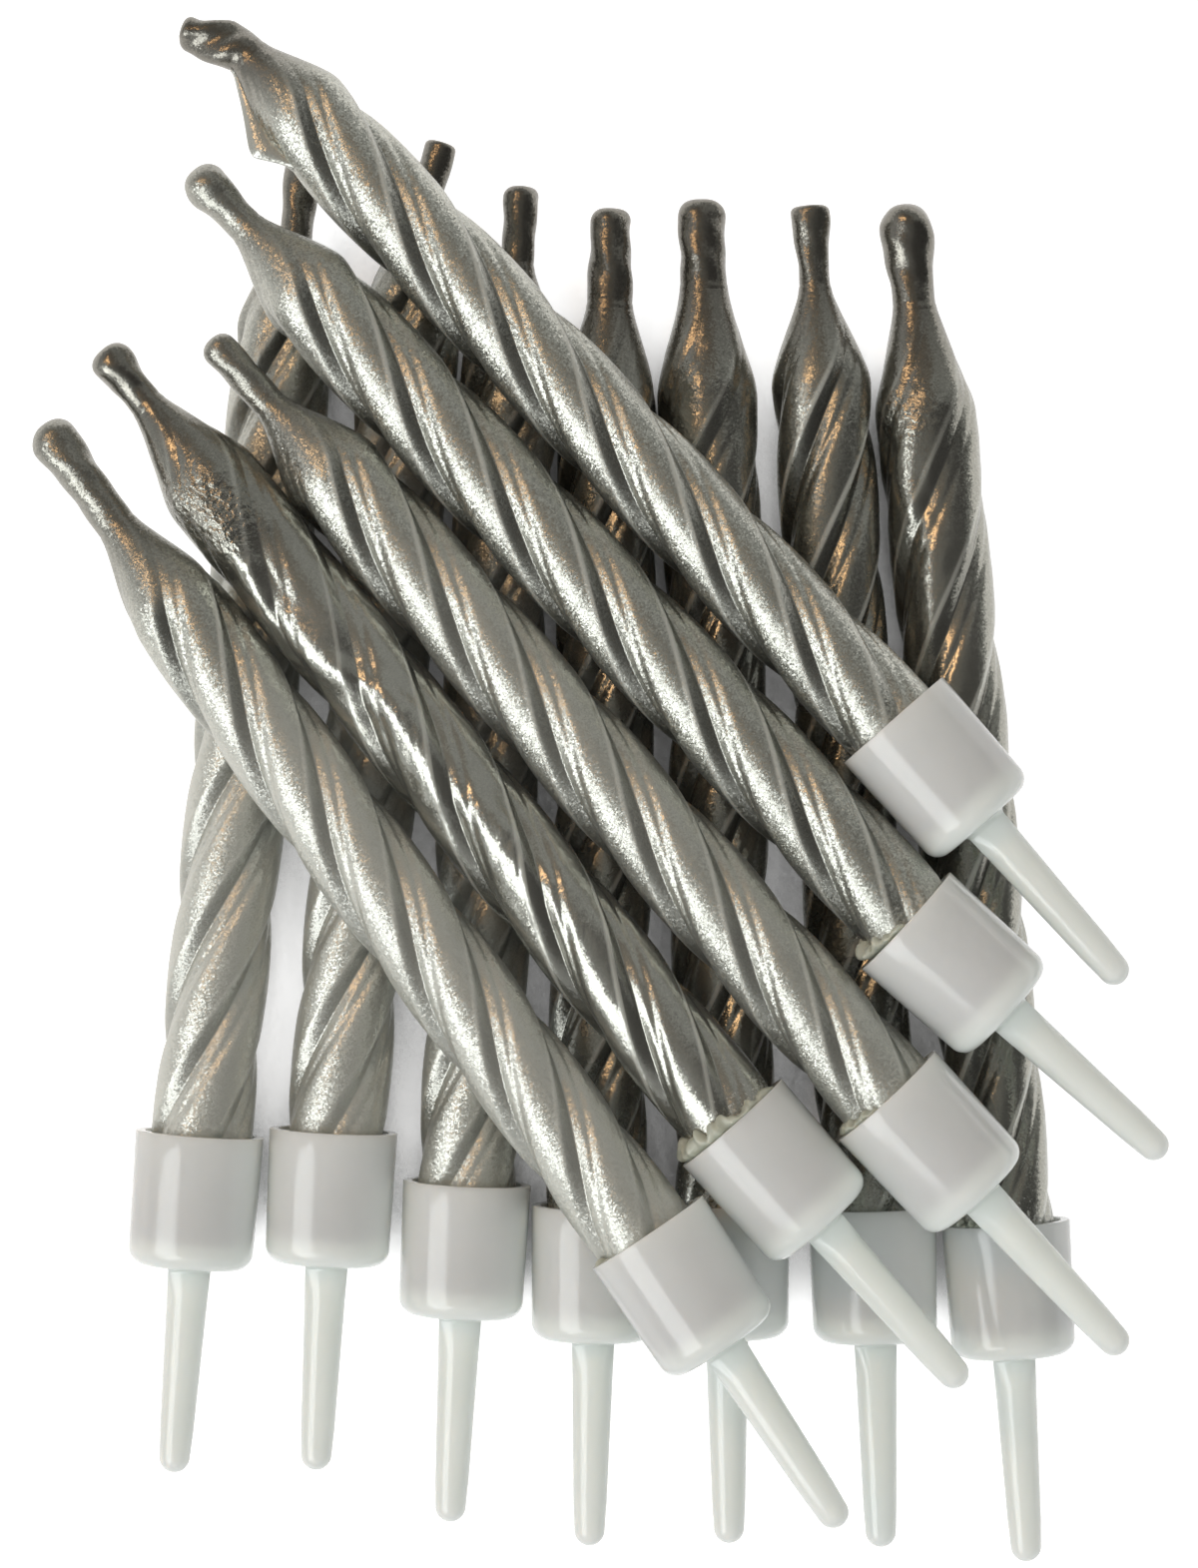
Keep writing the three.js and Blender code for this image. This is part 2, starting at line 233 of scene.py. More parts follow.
# How the surface strays from the rule, and the lengths over which it comes and goes along the candle.
WANDER_LENGTH = 14 * MM
WANDER_SHARE = 0.08
LUMP_SIZE = 4 * MM
CRINKLE_SIZE = 0.55 * MM
FOOT_FADE = 7 * MM
CREASE_AT_FOOT = 0.6
PALE_FADE = 12 * MM
MELT_DEPTH = 0.7
MELT_ABOVE_SHOULDER = 2 * MM
NECK_FADE = 1.5 * MM
TUCK_LENGTH = 0.5 * MM
TUCK_DEPTH = 0.12 * MM
RUN_ABOVE_SHOULDER = 2.5 * MM
TALLEST_RUN = 0.5 * MM
# How far round the candle a run winds on its way down, how far it strays and how wide it starts, in radians.
RUN_WINDS = 1.1
RUN_STRAYS = 1.6
RUN_WIDTH = 0.5
DOUBLE_POINTS = 0.002 * MM


def twisted_wax_tree():
    """The Geometry Nodes for one candle's wax: a grid that is wound into its twisted surface."""
    tree = bpy.data.node_groups.new("twisted_wax", "GeometryNodeTree")
    face = tree.interface
    face.new_socket("Geometry", in_out="OUTPUT", socket_type="NodeSocketGeometry")
    for name in ("Rings", "Sides"):
        face.new_socket(name, in_out="INPUT", socket_type="NodeSocketInt")
    for name in ("Foot", "Shoulder", "Neck", "Body Radius", "Neck Radius", "Crease Depth", "Lobes", "Lead",
                 "Roll", "Bow", "Melted", "Lumps", "Gloss", "Tip Shade And Gloss", "Pale", "Seed", "Run Height",
                 "Run Start", "Run Length"):
        face.new_socket(name, in_out="INPUT", socket_type="NodeSocketFloat")
    face.new_socket("Material", in_out="INPUT", socket_type="NodeSocketMaterial")
    nodes = tree.nodes
    link = tree.links.new
    given = nodes.new("NodeGroupInput")
    value = {socket.name: Field(tree, socket) for socket in given.outputs if socket.name}

    grid = nodes.new("GeometryNodeMeshGrid")
    link((value["Sides"] + 1.0).socket, grid.inputs["Vertices X"])
    link(value["Rings"].socket, grid.inputs["Vertices Y"])
    place = nodes.new("GeometryNodeInputPosition")
    split = nodes.new("ShaderNodeSeparateXYZ")
    link(place.outputs[0], split.inputs[0])
    turn = Field(tree, split.outputs["X"]) + 0.5
    row = (Field(tree, split.outputs["Y"]) + 0.5) * (value["Rings"] - 1.0)
    share = ((row - 1.0) / (value["Rings"] - 3.0)).held()
    along = value["Foot"] + share * (value["Neck"] - value["Foot"])
    inside = row.math("GREATER_THAN", 0.5) * row.math("LESS_THAN", value["Rings"] - 1.5)

    cone = ((along - value["Shoulder"]) / (value["Neck"] - value["Shoulder"])).held().through(CONE_PROFILE)
    radius = value["Body Radius"] + cone * (value["Neck Radius"] - value["Body Radius"])
    below_shoulder = (value["Shoulder"] + MELT_ABOVE_SHOULDER - along) / value["Melted"]
    melted = below_shoulder.at_least(0.0).eased().less_from_one() * MELT_DEPTH
    at_foot = ((along - CUP_HEIGHT) / FOOT_FADE).eased() * (1 - CREASE_AT_FOOT) + CREASE_AT_FOOT
    depth = value["Crease Depth"] * cone.less_from_one() * melted.less_from_one() * at_foot

    wander = nodes.new("ShaderNodeTexNoise")
    wander.noise_dimensions = "2D"
    wander.inputs["Scale"].default_value = 1.0
    wander_at = nodes.new("ShaderNodeCombineXYZ")
    link((along / WANDER_LENGTH).socket, wander_at.inputs["X"])
    link(value["Seed"].socket, wander_at.inputs["Y"])
    link(wander_at.outputs[0], wander.inputs["Vector"])
    wandering = Field(tree, wander.outputs[0]) - 0.5
    drift = wandering * WANDER_SHARE
    phase = (turn * value["Lobes"]).math("FRACT")
    profile = phase.through(LOBE_PROFILE)
    angle = (turn - drift / value["Lobes"] + along / value["Lead"]) * FULL_TURN + value["Roll"]
    aside = value["Bow"] * ((along - value["Foot"]) / (value["Neck"] - value["Foot"])).power(2.0)

    def on_circle(reach):
        combine = nodes.new("ShaderNodeCombineXYZ")
        link((angle.math("COSINE") * reach + aside).socket, combine.inputs["X"])
        link((angle.math("SINE") * reach).socket, combine.inputs["Y"])
        link(along.socket, combine.inputs["Z"])
        return combine

    lumps = nodes.new("ShaderNodeTexNoise")
    lumps.noise_dimensions = "4D"
    lumps.inputs["Scale"].default_value = 1 / LUMP_SIZE
    lumps.inputs["Detail"].default_value = 2.0
    link(on_circle(value["Body Radius"]).outputs[0], lumps.inputs["Vector"])
    link(value["Seed"].socket, lumps.inputs["W"])
    lumpy = Field(tree, lumps.outputs[0]) - 0.5
    at_neck = ((along - value["Neck"]) / NECK_FADE + 1.0).held()
    uneven = lumpy * 2.0 * value["Lumps"] * at_neck.less_from_one()

    # The run of melted wax wanders down and round the candle; a crinkled patch lies at its top.
    down = (value["Shoulder"] + RUN_ABOVE_SHOULDER - along) / value["Run Length"]
    around = (angle - value["Run Start"] - down * RUN_WINDS - wandering * RUN_STRAYS) / FULL_TURN
    off_run = ((around + 0.5).math("FRACT") - 0.5).math("ABSOLUTE") * FULL_TURN
    width = (down * 0.25 + RUN_WIDTH) + lumpy * 0.9
    crinkles = nodes.new("ShaderNodeTexNoise")
    crinkles.inputs["Scale"].default_value = 1 / CRINKLE_SIZE
    crinkles.inputs["Detail"].default_value = 3.0
    crinkles.inputs["Distortion"].default_value = 0.6
    link(on_circle(value["Body Radius"]).outputs[0], crinkles.inputs["Vector"])
    run_ends = (down * 10.0).eased() * ((down - 0.8) / 0.2).eased().less_from_one()
    run = (off_run / width).eased().less_from_one() * run_ends
    run_height = run * value["Run Height"] * ((Field(tree, crinkles.outputs[0]) - 0.5) * 0.5 + 0.8)
    patch_ends = (down * 16.0).eased() * ((down - 0.13) / 0.06).eased().less_from_one()
    patch = (off_run - 0.35).eased().less_from_one() * patch_ends
    crinkled = (patch + run * 0.12) * (value["Run Height"] / TALLEST_RUN)

    tucked = ((along - value["Neck"]) / TUCK_LENGTH + 1.0).held().power(2.0) * TUCK_DEPTH
    proud = uneven + run_height
    reach = (radius - tucked - depth * profile.less_from_one() + proud) * inside

    made = grid.outputs["Mesh"]
    creased = depth / value["Crease Depth"]
    # Painted shade on the lobe's flank and in its crease.
    shaded = phase.through(FLANK_SHADE) * creased
    # Painted shade on the cone, which is also glossier there.
    tip_shade_and_gloss = cone * value["Tip Shade And Gloss"]
    glossy = value["Gloss"].at_least(tip_shade_and_gloss * 0.7)
    pale_and_lip_highlight = value["Pale"] * ((value["Shoulder"] - along) / PALE_FADE).eased()
    # A painted highlight along each lip, kept in the same value as the paleness of thin lacquer.
    pale_and_lip_highlight = pale_and_lip_highlight.at_least(phase.through(PAINTED_LIP_HIGHLIGHT) * creased * 1.5)
    finish = {"along": along, "shaded": shaded, "glossy": glossy, "tip": tip_shade_and_gloss, "pale_and_lip_highlight": pale_and_lip_highlight,
              "crinkled": crinkled}
    for name, field in finish.items():
        store = nodes.new("GeometryNodeStoreNamedAttribute")
        store.data_type = "FLOAT"
        store.domain = "POINT"
        store.inputs["Name"].default_value = name
        link(made, store.inputs["Geometry"])
        link(field.socket, store.inputs["Value"])
        made = store.outputs[0]
    move = nodes.new("GeometryNodeSetPosition")
    link(made, move.inputs["Geometry"])
    link(on_circle(reach).outputs[0], move.inputs["Position"])
    merge = nodes.new("GeometryNodeMergeByDistance")
    merge.inputs["Distance"].default_value = DOUBLE_POINTS
    link(move.outputs[0], merge.inputs["Geometry"])
    smooth = nodes.new("GeometryNodeSetShadeSmooth")
    link(merge.outputs[0], smooth.inputs["Geometry"])
    real = nodes.new("GeometryNodeRealizeInstances")
    link(smooth.outputs[0], real.inputs[0])
    paint = nodes.new("GeometryNodeSetMaterial")
    link(real.outputs[0], paint.inputs["Geometry"])
    link(value["Material"].socket, paint.inputs["Material"])
    out = nodes.new("NodeGroupOutput")
    link(paint.outputs[0], out.inputs[0])
    return tree


def flake_group():
    """Metal flake in a lacquer: each flake tilts its own way and is a little lighter or darker."""
    group = bpy.data.node_groups.new("metal_flake", "ShaderNodeTree")
    face = group.interface
    for name, default in (("Flake Size", 0.085 * MM), ("Tilt", 0.4), ("Contrast", 0.62)):
        face.new_socket(name, in_out="INPUT", socket_type="NodeSocketFloat").default_value = default
    face.new_socket("Base Normal", in_out="INPUT", socket_type="NodeSocketVector")
    face.new_socket("Shade", in_out="OUTPUT", socket_type="NodeSocketFloat")
    face.new_socket("Normal", in_out="OUTPUT", socket_type="NodeSocketVector")
    nodes = group.nodes
    link = group.links.new
    given = nodes.new("NodeGroupInput")
    place = nodes.new("ShaderNodeTexCoord")
    cells = nodes.new("ShaderNodeTexVoronoi")
    link(place.outputs["Object"], cells.inputs["Vector"])
    link((Field(group, given.outputs["Flake Size"]).power(-1.0)).socket, cells.inputs["Scale"])
    centred = nodes.new("ShaderNodeVectorMath")
    centred.operation = "SUBTRACT"
    link(cells.outputs["Color"], centred.inputs[0])
    centred.inputs[1].default_value = (0.5, 0.5, 0.5)
    leaning = nodes.new("ShaderNodeVectorMath")
    leaning.operation = "SCALE"
    link(centred.outputs[0], leaning.inputs[0])
    link(given.outputs["Tilt"], leaning.inputs["Scale"])
    added = nodes.new("ShaderNodeVectorMath")
    added.operation = "ADD"
    link(leaning.outputs[0], added.inputs[0])
    link(given.outputs["Base Normal"], added.inputs[1])
    unit = nodes.new("ShaderNodeVectorMath")
    unit.operation = "NORMALIZE"
    link(added.outputs[0], unit.inputs[0])
    split = nodes.new("ShaderNodeSeparateColor")
    link(cells.outputs["Color"], split.inputs[0])
    shade = (Field(group, split.outputs[0]) - 0.5) * Field(group, given.outputs["Contrast"]) + 1.0
    out = nodes.new("NodeGroupOutput")
    link(shade.socket, out.inputs["Shade"])
    link(unit.outputs[0], out.inputs["Normal"])
    return group


METAL_FLAKE = flake_group()
# The frosted lacquer's flakes lie at more of a tilt and differ more than the glossy lacquer's.
FROSTED_TILT, GLOSSY_TILT = 0.34, 0.12
FROSTED_CONTRAST, GLOSSY_CONTRAST = 0.62, 0.27
FROSTED_METAL, GLOSSY_METAL = 0.89, 0.95
GRAIN_SIZE = 0.6 * MM
GRAIN_HEIGHT = 0.03 * MM
FOLD_SIZE = 0.42 * MM
FOLD_STRENGTH = 20.0
SPECK_SIZE = 0.22 * MM
BARE_ABOVE_CUP = 4 * MM
FROSTED_SILVER = (0.452, 0.455, 0.41)
GLOSSY_SILVER = (0.29, 0.285, 0.25)
# The colour of the painted shade on the cone and the wick's end.
PAINTED_TIP_SHADE = (0.19, 0.181, 0.158)
# The pale of thin lacquer, also the colour of the painted highlight on the lips.
PALE_AND_LIP_HIGHLIGHT_SILVER = (0.52, 0.525, 0.48)
# The colour of the painted shade on the crease flanks.
PAINTED_CREASE_SHADE = (0.08, 0.078, 0.07)
BARE_WAX = (0.42, 0.43, 0.4)
LACQUER_ROUGHNESS = 0.36
ROUGHNESS_SPREAD = 0.14
GLOSSY_SMOOTHNESS = 0.14
CLOUDY_PATCH_SIZE = 1.5 * MM


def new_material(name):
    material = bpy.data.materials.new(name)
    material.use_nodes = True
    tree = material.node_tree
    shader = next(node for node in tree.nodes if node.type == "BSDF_PRINCIPLED")
    return material, tree, shader


def noise_field(tree, size, detail):
    """Noise on Object coordinates; size is about how far apart its bumps lie."""
    noise = tree.nodes.new("ShaderNodeTexNoise")
    noise.inputs["Scale"].default_value = 1 / size
    noise.inputs["Detail"].default_value = detail
    tree.links.new(tree.nodes.new("ShaderNodeTexCoord").outputs["Object"], noise.inputs["Vector"])
    return Field(tree, noise.outputs[0])


def bump_in(tree, height, strength, distance):
    """A bump node over a height field; gives the normal."""
    bump = tree.nodes.new("ShaderNodeBump")
    bump.inputs["Strength"].default_value = strength
    bump.inputs["Distance"].default_value = distance
    tree.links.new(height.socket, bump.inputs["Height"])
    return bump.outputs[0]


def blended(tree, share, first, second):
    """The colour between two colours or colour sockets."""
    mix = tree.nodes.new("ShaderNodeMix")
    mix.data_type = "RGBA"
    tree.links.new(share.socket, mix.inputs["Factor"])
    for slot, value in ((mix.inputs[6], first), (mix.inputs[7], second)):
        if isinstance(value, tuple):
            slot.default_value = (*value, 1)
        else:
            tree.links.new(value, slot)
    return mix.outputs[2]


def attribute(tree, name):
    node = tree.nodes.new("ShaderNodeAttribute")
    node.attribute_name = name
    return Field(tree, node.outputs["Fac"])


def silver_lacquer(name, thins_at_foot):
    """Silver flake lacquer over wax, with painted shade on the cone and the wick's end. With thins_at_foot it
    also takes the pale of thin lacquer, a painted highlight on the lips and painted shade on the crease
    flanks, and where it thins out near the cup, grey wax shows between flecks.
    """
    material, tree, shader = new_material(name)
    link = tree.links.new
    glossy = attribute(tree, "glossy")
    folds = noise_field(tree, FOLD_SIZE, 3.0) * attribute(tree, "crinkled") * FOLD_STRENGTH
    relief = noise_field(tree, GRAIN_SIZE, 4.0) + folds
    flake = tree.nodes.new("ShaderNodeGroup")
    flake.node_tree = METAL_FLAKE
    link((glossy * (GLOSSY_TILT - FROSTED_TILT) + FROSTED_TILT).socket, flake.inputs["Tilt"])
    link((glossy * (GLOSSY_CONTRAST - FROSTED_CONTRAST) + FROSTED_CONTRAST).socket, flake.inputs["Contrast"])
    link(bump_in(tree, relief, 0.5, GRAIN_HEIGHT), flake.inputs["Base Normal"])
    shade = tree.nodes.new("ShaderNodeVectorMath")
    shade.operation = "SCALE"
    silver = blended(tree, glossy, FROSTED_SILVER, GLOSSY_SILVER)
    # Painted shade darkens the cone and the wick's end.
    link(blended(tree, attribute(tree, "tip").power(0.7), silver, PAINTED_TIP_SHADE), shade.inputs[0])
    link(flake.outputs["Shade"], shade.inputs["Scale"])
    colour = shade.outputs[0]
    metal = glossy * (GLOSSY_METAL - FROSTED_METAL) + FROSTED_METAL
    cloudy = noise_field(tree, CLOUDY_PATCH_SIZE, 2.0) * ROUGHNESS_SPREAD
    rough = cloudy + (LACQUER_ROUGHNESS - ROUGHNESS_SPREAD / 2) + glossy * -GLOSSY_SMOOTHNESS
    if thins_at_foot:
        pale_and_lip_highlight = attribute(tree, "pale_and_lip_highlight")
        # The pale of thin lacquer, and the painted highlight along the lips.
        colour = blended(tree, pale_and_lip_highlight, colour, PALE_AND_LIP_HIGHLIGHT_SILVER)
        metal = metal - pale_and_lip_highlight * 0.35
        # Painted shade on the crease flanks.
        colour = blended(tree, attribute(tree, "shaded") * (pale_and_lip_highlight * -0.3 + 0.6), colour, PAINTED_CREASE_SHADE)
        flecks = noise_field(tree, SPECK_SIZE, 2.0)
        bare = ((attribute(tree, "along") - CUP_HEIGHT) / BARE_ABOVE_CUP).held().less_from_one() * 0.5 + 0.02
        covered = ((flecks - bare) * 4.0 + 0.8).held()
        colour = blended(tree, covered, BARE_WAX, colour)
        metal = metal * covered
        rough = rough + covered.less_from_one() * 0.12
    link(colour, shader.inputs["Base Color"])
    link(metal.socket, shader.inputs["Metallic"])
    link(rough.socket, shader.inputs["Roughness"])
    link(flake.outputs["Normal"], shader.inputs["Normal"])
    return material


WAX_LACQUER = silver_lacquer("silver_lacquer_on_wax", True)
WAX_TREE = twisted_wax_tree()


def in_place(mesh, name, label):
    """Gives a mesh made in a candle's own frame its place, on an object that stays at the origin."""
    mesh.transform(PLACES[label])
    mesh.name = name
    piece = bpy.data.objects.new(name, mesh)
    bpy.context.scene.collection.objects.link(piece)
    return piece


def make_wax(candle, label):
    end, foot, shoulder, neck, _ = lay_out(candle)
    run_height, run_start, run_length = RUNS.get(candle, (0, 0, 10))
    sizes = {
        "Rings": WAX_RINGS, "Sides": WAX_SIDES, "Foot": foot, "Shoulder": shoulder, "Neck": neck,
        "Body Radius": BODY_RADIUS, "Neck Radius": end["neck"] / 2 * MM, "Crease Depth": CREASE_DEPTH,
        "Lobes": LOBES, "Lead": TWIST_LEADS_MM[candle] * MM, "Roll": math.radians(ROLLS[candle]),
        "Bow": BOW_MM[candle] * MM, "Melted": MELTED_MM[candle] * MM, "Lumps": LUMPS_MM[candle] * MM,
        "Gloss": GLOSS[candle], "Tip Shade And Gloss": TIP_SHADE_AND_GLOSS[candle], "Pale": PALE[candle], "Seed": 3.7 * candle,
        "Run Height": run_height * MM, "Run Start": math.radians(run_start), "Run Length": run_length * MM,
        "Material": WAX_LACQUER,
    }
    maker = bpy.data.objects.new("maker", bpy.data.meshes.new("maker"))
    bpy.context.scene.collection.objects.link(maker)
    modifier = maker.modifiers.new("twist", "NODES")
    modifier.node_group = WAX_TREE
    for socket in WAX_TREE.interface.items_tree:
        if socket.name in sizes:
            modifier[socket.identifier] = sizes[socket.name]
    evaluated = maker.evaluated_get(bpy.context.evaluated_depsgraph_get())
    mesh = bpy.data.meshes.new_from_object(evaluated)
    bpy.data.objects.remove(maker)
    piece = in_place(mesh, f"twisted_wax_{label}", label)
    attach(piece, f"candle_{label}")
    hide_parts(f"wax_{label}")


for candle, label in enumerate(LABELS):
    make_wax(candle, label)


# The wick ends: cotton that was dipped with the candle, so a neck of lacquered wax carries a blob at
# the cut. The core runs down through the wax, where it can't be seen. Each is built from rings.
WICK_SIDES = 48
CORE_RADIUS = 0.45 * MM
WICK_CLEARANCE = 0.3 * MM
# How far below the neck the core ends and the skin of the wick's end begins.
CORE_TOP = 1.4 * MM
# Where the skin of the end leaves the core and comes out through the cone: how far below the neck each
# ring lies, and how much narrower it is there than the wax, in mm.
TUCKED_RINGS = [(1.1, 0.3), (0.8, 0.16), (0.5, 0.03), (0.3, -0.01), (0.1, -0.01)]
CAP_ANGLES = range(10, 91, 10)


def ring_skin(name, rings):
    """A closed, smooth mesh over rings that all have the same number of points."""
    count = len(rings[0])
    points = [Vector(point) for ring in rings for point in ring]
    faces = []
    for row in range(len(rings) - 1):
        for side in range(count):
            a = row * count + side
            b = row * count + (side + 1) % count
            faces.append((a, b, b + count, a + count))
    for row, at_start in ((0, True), (len(rings) - 1, False)):
        middle = len(points)
        points.append(sum((Vector(point) for point in rings[row]), Vector()) / count)
        for side in range(count):
            a = row * count + side
            b = row * count + (side + 1) % count
            faces.append((middle, b, a) if at_start else (middle, a, b))
    mesh = bpy.data.meshes.new(name)
    mesh.from_pydata(points, [], faces)
    mesh.shade_smooth()
    return mesh


def circle_of(radius, centre, lean, seed=0, uneven_by=0.0):
    """A slightly lumpy ring round a centre, leaning about y."""
    points = []
    for side in range(WICK_SIDES):
        angle = FULL_TURN * side / WICK_SIDES
        wave = 0.05 * math.sin(2 * angle + seed + centre.z * 900)
        wave += 0.03 * math.sin(3 * angle + centre.z * 2500 + seed)
        reach = radius * (1 + uneven_by * wave)
        across = reach * math.cos(angle)
        points.append(centre + Vector((across * math.cos(lean), reach * math.sin(angle),
                                       -across * math.sin(lean))))
    return points


def smooth_through(stations, steps):
    """A smooth curve through (place, value) pairs, sampled evenly between the first and last place."""
    places = np.array([place for place, _ in stations])
    values = np.array([value for _, value in stations])
    slopes = np.gradient(values, places)
    samples = []
    for at in np.linspace(places[0], places[-1], steps):
        i = min(max(int(np.searchsorted(places, at)) - 1, 0), len(places) - 2)
        span = places[i + 1] - places[i]
        t = (at - places[i]) / span
        samples.append((at, float(
            (2 * t**3 - 3 * t**2 + 1) * values[i] + (t**3 - 2 * t**2 + t) * span * slopes[i]
            + (-2 * t**3 + 3 * t**2) * values[i + 1] + (t**3 - t**2) * span * slopes[i + 1])))
    return samples


def wick_outline(end, length):
    """The place, as a share of the bare length, and the diameter in mm of each ring of a wick end."""
    flat = max(0.1, end["cut"] - 0.28)
    cap = 0.55 * (1 - flat) * end["blob"] / length
    body = 1 - cap
    between = (end["neck"] + end["blob"]) / 2
    shape = smooth_through([(0, end["neck"]), (0.35 * body, end["neck"]), (0.65 * body, between),
                            (0.93 * body, end["blob"]), (body, end["blob"])], 30)
    rounded = [math.radians(angle) for angle in CAP_ANGLES]
    return shape + [(body + cap * math.sin(angle), end["blob"] * (flat + (1 - flat) * math.cos(angle)))
                    for angle in rounded]


def make_wick(candle, label):
    end, foot, _, neck, top = lay_out(candle)
    bend = math.radians(end["bend"])
    bends_over = 0.25 if end["bend"] < 0 else 0.5

    def bowed(point):
        share = (point.z - foot) / (neck - foot)
        return point + Vector((BOW_MM[candle] * MM * share ** 2, 0, 0))

    rings = [circle_of(CORE_RADIUS, bowed(Vector((0, 0, at))), 0)
             for at in (foot + WICK_CLEARANCE, neck - CORE_TOP)]
    for below, tucked in TUCKED_RINGS:
        share = 1 - below / end["cone"]
        narrowed = np.interp(share, [at for at, _ in CONE_PROFILE], [height for _, height in CONE_PROFILE])
        width = end["neck"] + (BODY_RADIUS / MM * 2 - end["neck"]) * (1 - narrowed) - tucked
        rings.append(circle_of(width / 2 * MM, bowed(Vector((0, 0, neck - below * MM))), 0))
    centre = Vector((0, 0, neck))
    reached = 0
    for share, diameter in wick_outline(end, end["length"]):
        t = min(1, share / bends_over)
        lean = bend * t * t * (3 - 2 * t)
        centre = centre + Vector((math.sin(lean), 0, math.cos(lean))) * (share - reached) * (top - neck)
        reached = share
        uneven_by = min(1, share * 3) * end.get("lumpy", 1)
        rings.append(circle_of(diameter / 2 * MM, bowed(centre), lean, seed=candle, uneven_by=uneven_by))
    skin = ring_skin(f"wick_end_{label}", rings)
    # The wick's end gets its gloss and its painted shade.
    for name, amount in (("glossy", max(0.7 * TIP_SHADE_AND_GLOSS[candle], GLOSS[candle])), ("tip", TIP_SHADE_AND_GLOSS[candle])):
        skin.attributes.new(name, "FLOAT", "POINT").data.foreach_set("value", [amount] * len(skin.vertices))
    piece = in_place(skin, f"wick_end_{label}", label)
    piece.data.materials.append(WICK_LACQUER)
    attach(piece, f"candle_{label}")
    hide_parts(f"wick_{label}")


WICK_LACQUER = silver_lacquer("silver_lacquer_on_wick", False)
for candle, label in enumerate(LABELS):
    make_wick(candle, label)


# The holders: one-piece mouldings in milky polyethylene, a cup with a sharp rim and a rounded foot on
# a tapered spike. Turned profile, with the drafted wall and the soft root of a moulding.
CUP_RADIUS = 3.8 * MM
CUP_FOOT_RADIUS = 3.675 * MM
CUP_BORE_RADIUS = 3.25 * MM
CUP_CORNER = 1 * MM
SPIKE_LENGTH = 12.2 * MM
SPIKE_ROOT_RADIUS = 1.25 * MM
SPIKE_END_RADIUS = 0.95 * MM
# How far each holder sits askew on the foot of its candle.
CROOKED_DEGREES = [-1.5, -2, 0, 0, 0, 1.5, 1.5, 3, -4, -1, -1.5, 4]
HOLDER_SIDES = 96
POLE_RADIUS = 0.02 * MM
FAN_COUNT = 7


def arc(radius_at, along_at, radius, start, stop, steps=8):
    """Points of a profile on an arc; angles in degrees from straight out, towards the tip."""
    return [(radius_at + radius * math.cos(math.radians(a)), along_at + radius * math.sin(math.radians(a)))
            for a in np.linspace(start, stop, steps)]


CLOUDED_MILK = (0.765, 0.812, 0.775)
CLEAR_MILK = (0.82, 0.867, 0.835)
CLOUD_SIZE = 3 * MM
DIMPLE_SIZE = 1.2 * MM


def milky_plastic():
    material, tree, shader = new_material("milky_plastic")
    cloud = noise_field(tree, CLOUD_SIZE, 3.0)
    colour = blended(tree, cloud, CLOUDED_MILK, CLEAR_MILK)
    tree.links.new(colour, shader.inputs["Base Color"])
    tree.links.new((cloud * 0.1 + 0.09).socket, shader.inputs["Roughness"])
    shader.inputs["Subsurface Weight"].default_value = 1.0
    shader.inputs["Subsurface Radius"].default_value = (1.0, 1.0, 0.95)
    shader.inputs["Subsurface Scale"].default_value = 2 * MM
    shader.inputs["IOR"].default_value = 1.5
    dimples = noise_field(tree, DIMPLE_SIZE, 3.0)
    tree.links.new(bump_in(tree, dimples, 0.35, 0.02 * MM), shader.inputs["Normal"])
    return material


MILKY_PLASTIC = milky_plastic()


def make_holder(candle, label):
    root = 0.35 * MM
    rim = 0.05 * MM
    inside_corner = 0.2 * MM
    profile = [(POLE_RADIUS, -SPIKE_LENGTH)]
    tip = SPIKE_END_RADIUS * 0.95
    profile += arc(0, tip - SPIKE_LENGTH, tip, -80, 0, 10)
    profile += [(SPIKE_END_RADIUS + (SPIKE_ROOT_RADIUS - SPIKE_END_RADIUS) * t, along)
                for t, along in zip(np.linspace(0, 1, 8)[1:], np.linspace(tip - SPIKE_LENGTH, -root, 8)[1:])]
    profile += arc(SPIKE_ROOT_RADIUS + root, -root, root, 180, 90, 6)
    profile += arc(CUP_FOOT_RADIUS - CUP_CORNER, CUP_CORNER, CUP_CORNER, -90, 0, 10)
    profile += [(CUP_FOOT_RADIUS + (CUP_RADIUS - CUP_FOOT_RADIUS) * t,
                 CUP_CORNER + (CUP_HEIGHT - rim - CUP_CORNER) * t) for t in np.linspace(0, 1, 6)[1:]]
    profile += arc(CUP_RADIUS - rim, CUP_HEIGHT - rim, rim, 30, 90, 3)
    profile += arc(CUP_BORE_RADIUS + rim, CUP_HEIGHT - rim, rim, 90, 180, 3)
    profile += [(CUP_BORE_RADIUS, CUP_FLOOR + inside_corner)]
    profile += arc(CUP_BORE_RADIUS - inside_corner, CUP_FLOOR + inside_corner, inside_corner, 0, -90, 3)[1:]
    profile += [(POLE_RADIUS, CUP_FLOOR)]
    turns = [FULL_TURN * side / HOLDER_SIDES for side in range(HOLDER_SIDES)]
    rings = [[Vector((r * math.cos(turn), r * math.sin(turn), a)) for turn in turns] for r, a in profile]
    mesh = ring_skin(f"push_in_holder_{label}", rings)
    middle = Vector((0, 0, CUP_HEIGHT / 2))
    askew = Matrix.Rotation(math.radians(CROOKED_DEGREES[candle]), 4, "Y")
    mesh.transform(Matrix.Translation(middle) @ askew @ Matrix.Translation(-middle))
    piece = in_place(mesh, f"push_in_holder_{label}", label)
    mesh.materials.append(MILKY_PLASTIC)
    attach(piece, "fan_holders" if candle < FAN_COUNT else f"holder_{label}")
    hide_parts(f"holder_{label}")


for candle, label in enumerate(LABELS):
    make_holder(candle, label)


